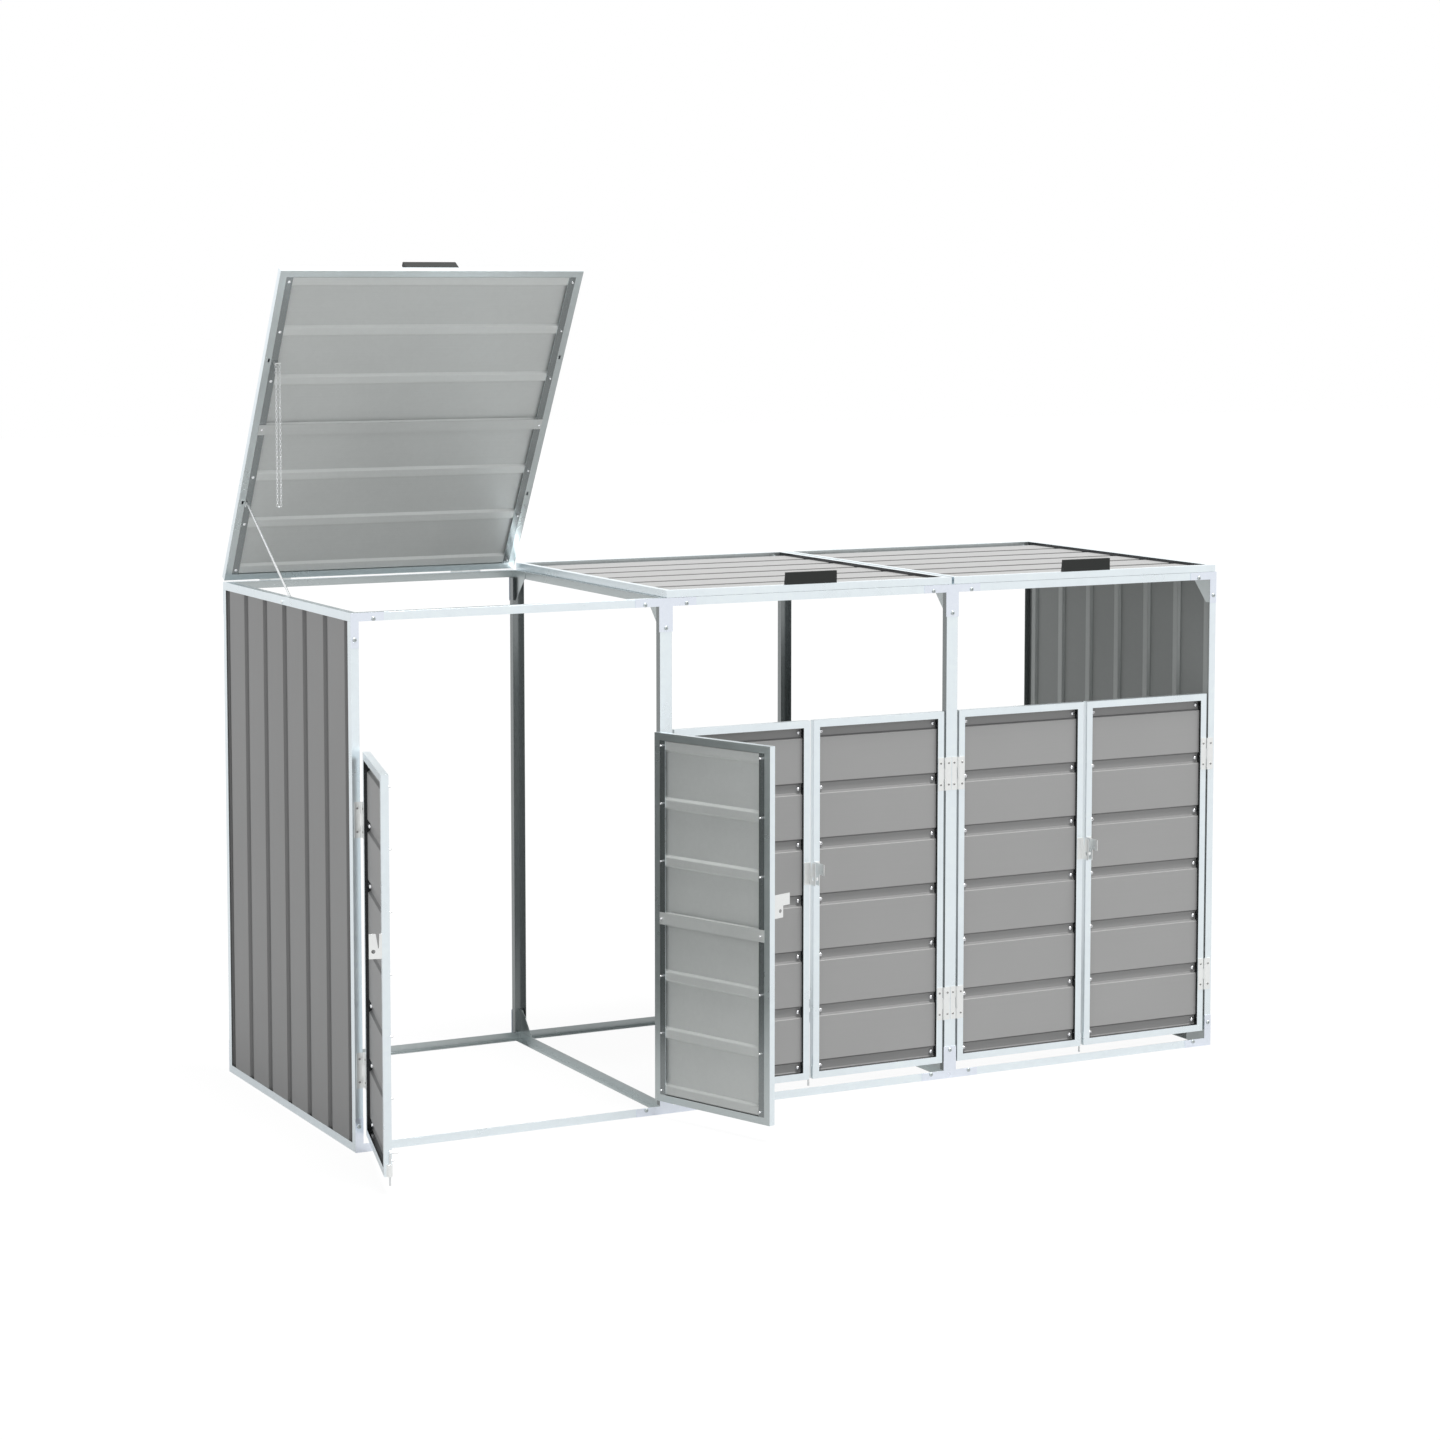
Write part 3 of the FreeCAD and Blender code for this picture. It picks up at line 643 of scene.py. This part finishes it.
def tube_frame(leaf):
    plan, width, length = plans[leaf]
    flat = plan.inverted()
    bm = cleaned(nodes[leaf + "_frame"].data)
    back, side = [plan.to_3x3() @ Vector(axis) for axis in ((0, 0, -1), (1, 0, 0))]
    for across in (tube, width - tube):
        cut_faces(bm, back, plan @ Vector((across, 0, 0)), side)
    # Backs, fins and the sides that face the sheet take darker copies of the zinc, as painted
    # shade.
    for face in bm.faces:
        middle = flat @ face.calc_center_median()
        from_side = min(middle.x, width - middle.x)
        from_end = min(middle.y, length - middle.y)
        low, high = corners([flat @ v.co for v in face.verts])
        size = high - low
        if is_sheared(face):
            face.material_index = on_cut
        elif low.z < -tube - hair:
            face.material_index = on_strap
        elif size.z < hair and middle.z < hair - tube:
            face.material_index = on_dull_painted_shade if min(from_side, from_end) < tube else on_deep_painted_shade
        elif abs(from_side - tube) < hair:
            face.material_index = on_black_painted_shade
        elif abs(from_end - tube) < hair:
            face.material_index = on_dull_painted_shade if leaf in lids else on_black_painted_shade
    weigh_edges(bm, tube_bend)
    node = leaf + "_frame"
    piece = finished_object(node + "_finished", bm, tube_finishes, body_of[node])
    add_bevel(piece, tube_bend, 3)
    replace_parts(piece, node)


for leaf in doors + lids:
    tube_frame(leaf)
print("tube frames", len(doors + lids))

# %% [markdown]
# ## Ribbed sheet
# The ribs are pressed with soft corners, and the bright line along each plank's upper edge in
# daylight is this corner. The doors' bends get a radius of two and a half millimetres. Lids and
# sides show a crisper line, so theirs are tighter. Ribs could be painted on as a bump, but a sheet
# shows its wave where it ends at the frame, so they stay real. The faces that look out take the
# grey finish, and all others stay bare.

# %% Ribbed sheets
def ribbed(node, plan, outside, inside, bend):
    bm = cleaned(nodes[node].data)
    valley = bm.verts.layers.float.new("valley")
    flat = plan.inverted()
    levels = [(flat @ v.co).z for v in bm.verts]
    top = max(levels)
    rib_depth = top - min(levels) - sheet
    for v, level in zip(bm.verts, levels):
        v[valley] = min(max((top - level) / rib_depth, 0), 1)
    out = plan.to_3x3() @ Vector((0, 0, 1))
    for face in bm.faces:
        face.material_index = 0 if face.normal.dot(out) > 0.3 else 1
    weigh_edges(bm, bend)
    finishes = [outside, inside]
    piece = finished_object(node + "_finished", bm, finishes, body_of[node])
    add_bevel(piece, bend, 4)
    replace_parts(piece, node)
    return rib_depth


for leaf in doors:
    ribbed(leaf + "_panel", plans[leaf][0], door_sheet, door_inside, 0.0026)
for leaf in lids:
    rib_depth = ribbed(leaf + "_panel", plans[leaf][0], lid_sheet, lid_inside, 0.0013)
for side, turn in (("left", -90), ("right", 90)):
    sideways = Matrix.Rotation(math.radians(turn), 4, "Y")
    ribbed("side_panel_" + side, sideways, side_sheet, side_inside_painted_shade, 0.0018)
print("sheets", len(doors + lids) + 2, "rib depth", round(rib_depth, 4))

# %% [markdown]
# ## Screws
# Every screw here is a pan head with a cross recess. We turn one as a profile round its axis,
# like a part on a lathe, and stamp copies of it wherever a fixing sits. The small stubs that show
# where a fixing comes through the sheet are turned in the same way.

# %% Turn a profile and stamp the shape
def lathed(bm, profile, sides=18):
    """Add the shape that a profile of (radius, height) points makes round Z, from below up."""
    rings = []
    for radius, height in profile:
        if radius == 0:
            rings.append([bm.verts.new((0, 0, height))])
            continue
        turns = [2 * math.pi * i / sides for i in range(sides)]
        around = [(radius * math.cos(a), radius * math.sin(a), height) for a in turns]
        rings.append([bm.verts.new(point) for point in around])
    for low, high in zip(rings, rings[1:]):
        for i in range(sides):
            j = (i + 1) % sides
            bottom = [low[i], low[j]] if len(low) > 1 else low
            top = [high[j], high[i]] if len(high) > 1 else high
            bm.faces.new(bottom + top)


def mark_sharp(bm, angle=35):
    bm.normal_update()
    for edge in bm.edges:
        edge.smooth = edge.calc_face_angle(0) < math.radians(angle)
    for face in bm.faces:
        face.smooth = True


def stub(radius, height, straight):
    """The mesh of a round-nosed stub, straight for that share of its height."""
    bm = bmesh.new()
    arc = [math.radians(a) for a in (0, 22, 45, 67)]
    nose = [(radius * math.cos(a), height * (straight + (1 - straight) * math.sin(a))) for a in arc]
    lathed(bm, [(0, -hair), (radius, -hair)] + nose + [(0, height)], sides=14)
    mesh = bpy.data.meshes.new("stub")
    bm.to_mesh(mesh)
    bm.free()
    return mesh


def stamp(bm, shape, place):
    start = len(bm.verts)
    bm.from_mesh(shape)
    bm.verts.ensure_lookup_table()
    bmesh.ops.transform(bm, matrix=place, verts=bm.verts[start:])


panel_tip = stub(0.0022, 0.0072, 0.7)
panel_button = stub(0.0034, 0.0017, 0.25)
print("tip faces", len(panel_tip.polygons))

# %% [markdown]
# The cross is cut out of the head with a Boolean: two bars that narrow downwards, a quarter turn
# apart. The recess costs some faces, but it catches a small shadow that a painted cross wouldn't.

# %% Cut the cross
def wedge(bm, length, width, bottom, top):
    """One arm of the cross: a bar that narrows downwards."""
    rings = []
    for z, s in ((bottom, 0.45), (top, 1.0)):
        x, y = length / 2 * s, width / 2 * (0.5 + s / 2)
        rings.append([bm.verts.new(p) for p in ((-x, -y, z), (x, -y, z), (x, y, z), (-x, y, z))])
    low, high = rings
    bm.faces.new(low[::-1])
    bm.faces.new(high)
    for i in range(4):
        j = (i + 1) % 4
        bm.faces.new((low[i], low[j], high[j], high[i]))


def pan_head(radius, height):
    """The mesh of a pan head that sits on the plane Z = 0."""
    bm = bmesh.new()
    shape = [(0, -0.05), (0.97, -0.05), (1.0, 0.12), (0.98, 0.42),
             (0.86, 0.70), (0.62, 0.90), (0.32, 0.98), (0, 1)]
    lathed(bm, [(r * radius, z * height) for r, z in shape])
    head = as_object("head", bm)
    cutters = []
    for turn in (0, 90):
        bm = bmesh.new()
        wedge(bm, 1.1 * radius, 0.24 * radius, 0.3 * height, 1.3 * height)
        bmesh.ops.rotate(bm, verts=bm.verts, matrix=Matrix.Rotation(math.radians(turn), 3, "Z"))
        cutters.append(as_object("cutter", bm))
        cut = head.modifiers.new("recess", "BOOLEAN")
        cut.operation = "DIFFERENCE"
        cut.object = cutters[-1]
    shown = head.evaluated_get(bpy.context.evaluated_depsgraph_get())
    finished = bpy.data.meshes.new_from_object(shown)
    for helper in [head] + cutters:
        bpy.data.objects.remove(helper)
    return finished


panel_screw = pan_head(0.0047, 0.0048)
leaf_screw = pan_head(0.0024, 0.0013)
corner_head = pan_head(0.0045, 0.0027)
print("screw faces", len(panel_screw.polygons))

# %% [markdown]
# Fourteen fixings hold each ribbed sheet, seven on each fin, one in the middle of each valley.
# The valleys are read from the sheet itself, so that the screws follow if the sheet changes: the
# points at valley depth come in pairs along Y, and a screw sits halfway between two. Its round
# tip stands out inside by seven millimetres. Along the left of a lid it is a low button instead,
# which leaves room for the folded prop rod.

# %% Panel screws
def valley_lines(leaf):
    flat = plans[leaf][0].inverted()
    points = [flat @ v.co for v in nodes[leaf + "_panel"].data.vertices]
    plank = max(p.z for p in points)
    floor = sorted({round(p.y, 5) for p in points if abs(p.z - plank + rib_depth) < 2 * hair})
    return [(a + b) / 2 for a, b in zip(floor[::2], floor[1::2])], plank - rib_depth


for leaf in doors + lids:
    plan, width, length = plans[leaf]
    lines, floor_level = valley_lines(leaf)
    bm = bmesh.new()
    left, right = tube + fin / 2, width - tube - fin / 2
    for across in (left, right):
        end = panel_button if leaf in lids and across == left else panel_tip
        for i, along in enumerate(lines):
            twist = Matrix.Rotation(0.7 * i + 40 * across, 4, "Z")
            stamp(bm, panel_screw, plan @ Matrix.Translation((across, along, floor_level)) @ twist)
            inside = Matrix.Translation((across, along, -tube)) @ Matrix.Rotation(math.pi, 4, "X")
            stamp(bm, end, plan @ inside)
    mark_sharp(bm)
    finished_object(leaf + "_screws", bm, [screw_zinc], leaf)
print("valleys", [round(v, 4) for v in lines])

# %% [markdown]
# The corner screws are in the CAD as short prisms, each a solid of its own. The middle of each
# gives the place and its flat direction gives the axis, and a round head is stamped there.

# %% Corner screws
frame_middle = (bars_low + bars_high) / 2
bm = bmesh.new()
for count, solid in enumerate(solids_of(nodes["corner_screws"].data)):
    low, high = corners([p for ring in solid for p in ring])
    size = high - low
    thin = min(range(3), key=lambda i: size[i])
    centre = (low + high) / 2
    out = Vector((0, 0, 0))
    out[thin] = 1 if centre[thin] > frame_middle[thin] else -1
    seat = centre - out * size[thin] / 2
    facing = out.to_track_quat("Z", "Y").to_matrix().to_4x4()
    twist = Matrix.Rotation(0.9 * count, 4, "Z")
    stamp(bm, corner_head, Matrix.Translation(seat) @ facing @ twist)
mark_sharp(bm)
heads = finished_object("corner_screws_finished", bm, [dull_zinc_and_painted_shade], "frame")
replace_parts(heads, "corner_screws")
print("corner screws", count + 1)

# %% [markdown]
# ## Small fittings
# Hinge leaves, hasps, lugs and seats are pressed from the same bright sheet. Their barrels were
# drawn with eight flats. Smooth shading over those flats makes them look rolled, so only
# edges sharper than fifty degrees get a bevel here.

# %% Fittings
for leaf in doors + lids:
    bent(leaf + "_fittings", pressed_zinc, sheared, bend=0.0006, sharp=50)
for node in ("door_hinge_leaves", "lid_hinge_leaves", "prop_seats"):
    bent(node, pressed_zinc, sheared, bend=0.0006, sharp=50)
for leaf in lids:
    bent(leaf + "_handle", handle_plastic, bend=0.0016, cut=0.0008)
for bay in bays:
    bent(f"drop_bolt_{bay}", wire_zinc, bend=0.0012, segments=4, sharp=50)
    bent(f"prop_rod_{bay}", wire_zinc, bend=0.0008, sharp=50)
print("fittings", len(doors + lids) + 3)

# %% [markdown]
# Two small screws hold each hinge leaf, near its two ends, in the middle of its flat. The pin
# of a hinge is the joint's own place in the record, and the leaves reach away from it to both
# sides: one moves with the door or lid, the other stays on the frame.

# %% Hinge screws
screw_from_middle = 0.0235
on_moving_leaf = 0.0102
on_fixed_leaf = 0.0096


def middles(node, axis):
    """Where the hinges of a node lie along an axis."""
    boxes = [corners([p for ring in solid for p in ring]) for solid in solids_of(nodes[node].data)]
    return sorted({round((low[axis] + high[axis]) / 2, 3) for low, high in boxes})


def leaf_screws(bm, turn, middle, along, reach, out):
    facing = out.to_track_quat("Z", "Y").to_matrix().to_4x4()
    for step in (-screw_from_middle, screw_from_middle):
        place = Matrix.Translation(middle + along * step + reach) @ facing
        stamp(bm, leaf_screw, turn @ place)


door_heights = middles("door_hinge_leaves", 2)
lid_places = middles("lid_hinge_leaves", 0)
fixed = bmesh.new()
for leaf in doors + lids:
    pin = Vector(hinge_of[leaf]["pos_m"])
    opened = closing_turn(leaf).inverted()
    low, high = shut_box(leaf)
    if leaf in lids:
        along, out, inward = Vector((1, 0, 0)), Vector((0, 1, 0)), Vector((0, 0, 1))
        seat = high.y + sheet
        spots = [Vector((x, seat, pin.z)) for x in lid_places if low.x < x < high.x]
    else:
        along, out = Vector((0, 0, 1)), Vector((0, -1, 0))
        inward = Vector((1 if leaf.endswith("left") else -1, 0, 0))
        spots = [Vector((pin.x, low.y - sheet, z)) for z in door_heights]
    moving = bmesh.new()
    for spot in spots:
        leaf_screws(moving, opened, spot, along, inward * on_moving_leaf, out)
        leaf_screws(fixed, Matrix(), spot, along, -inward * on_fixed_leaf, out)
    mark_sharp(moving)
    finished_object(leaf + "_hinge_screws", moving, [dull_steel], leaf)
mark_sharp(fixed)
finished_object("frame_hinge_screws", fixed, [dull_steel], "frame")
print("door hinges at", door_heights, "lid hinges at", lid_places)

# %% [markdown]
# ## The chain
# A light chain hangs double from a hook under the first lid. Each link is a ring of one
# millimetre wire with straight sides, turned a quarter against the last. A twisted strand would
# be cheaper, but from close by one sees through the links. We sweep one link, and set copies of
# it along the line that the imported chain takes: down, round, and up again.

# %% One chain link
wire = 0.00055
wire_sides = 8
half_turn_steps = 6
link_length = 0.008
link_width = 0.005


def link(bm, place):
    side = (link_length - link_width) / 2
    radius = link_width / 2 - wire
    rings = []
    for half, z in ((0, side), (1, -side)):
        for i in range(half_turn_steps + 1):
            a = math.pi * (half + i / half_turn_steps)
            out = Vector((math.cos(a), 0, math.sin(a)))
            centre = Vector((radius * math.cos(a), 0, z + radius * math.sin(a)))
            turns = [2 * math.pi * k / wire_sides for k in range(wire_sides)]
            around = [out * wire * math.cos(t) + Vector((0, wire * math.sin(t), 0)) for t in turns]
            rings.append([bm.verts.new(place @ (centre + point)) for point in around])
    for i, ring in enumerate(rings):
        after = rings[(i + 1) % len(rings)]
        for k in range(wire_sides):
            m = (k + 1) % wire_sides
            bm.faces.new((ring[k], ring[m], after[m], after[k]))


pitch = link_length - 4 * wire
print("a link is", link_length, "long and the next one follows at", round(pitch, 5))

# %% [markdown]
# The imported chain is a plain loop. Its box and its pin give the line: two straight strands and a
# half circle below. The count of links is odd, so that both ends lie on the pin in the same way.

# %% Hang the chain
chain_low, chain_high = corners([v.co for v in nodes["lift_chain"].data.vertices])
middle = (chain_low + chain_high) / 2
packed_bar = 0.003
apart = (chain_high.x - chain_low.x - packed_bar) / 2
hook_pin_radius = 0.0011
pin_z = hinge_of["lift_chain"]["pos_m"][2]
top = pin_z + hook_pin_radius + wire - (link_length / 2 - wire)
turn_z = chain_low.z + apart
down = top - turn_z
chain_length = 2 * down + math.pi * apart


def along_chain(s):
    """Where a point lies on the chain's line and which way the line runs there."""
    if s <= down:
        return Vector((middle.x - apart, middle.y, top - s)), 0.0
    if s >= chain_length - down:
        return Vector((middle.x + apart, middle.y, top - (chain_length - s))), math.pi
    a = (s - down) / apart
    spot = Vector((middle.x - apart * math.cos(a), middle.y, turn_z - apart * math.sin(a)))
    return spot, a


bm = bmesh.new()
count = 2 * round(chain_length / pitch / 2) + 1
for i in range(count):
    spot, lean = along_chain(chain_length * i / (count - 1))
    quarter = Matrix.Rotation(math.radians(90 * ((i + 1) % 2)), 4, "Z")
    link(bm, Matrix.Translation(spot) @ Matrix.Rotation(-lean, 4, "Y") @ quarter)
bmesh.ops.recalc_face_normals(bm, faces=bm.faces)
mark_sharp(bm, 60)
chain = finished_object("chain_links", bm, [wire_zinc], "lift_chain")
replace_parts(chain, "lift_chain")
print("links", count, "pitch", round(chain_length / (count - 1), 5))
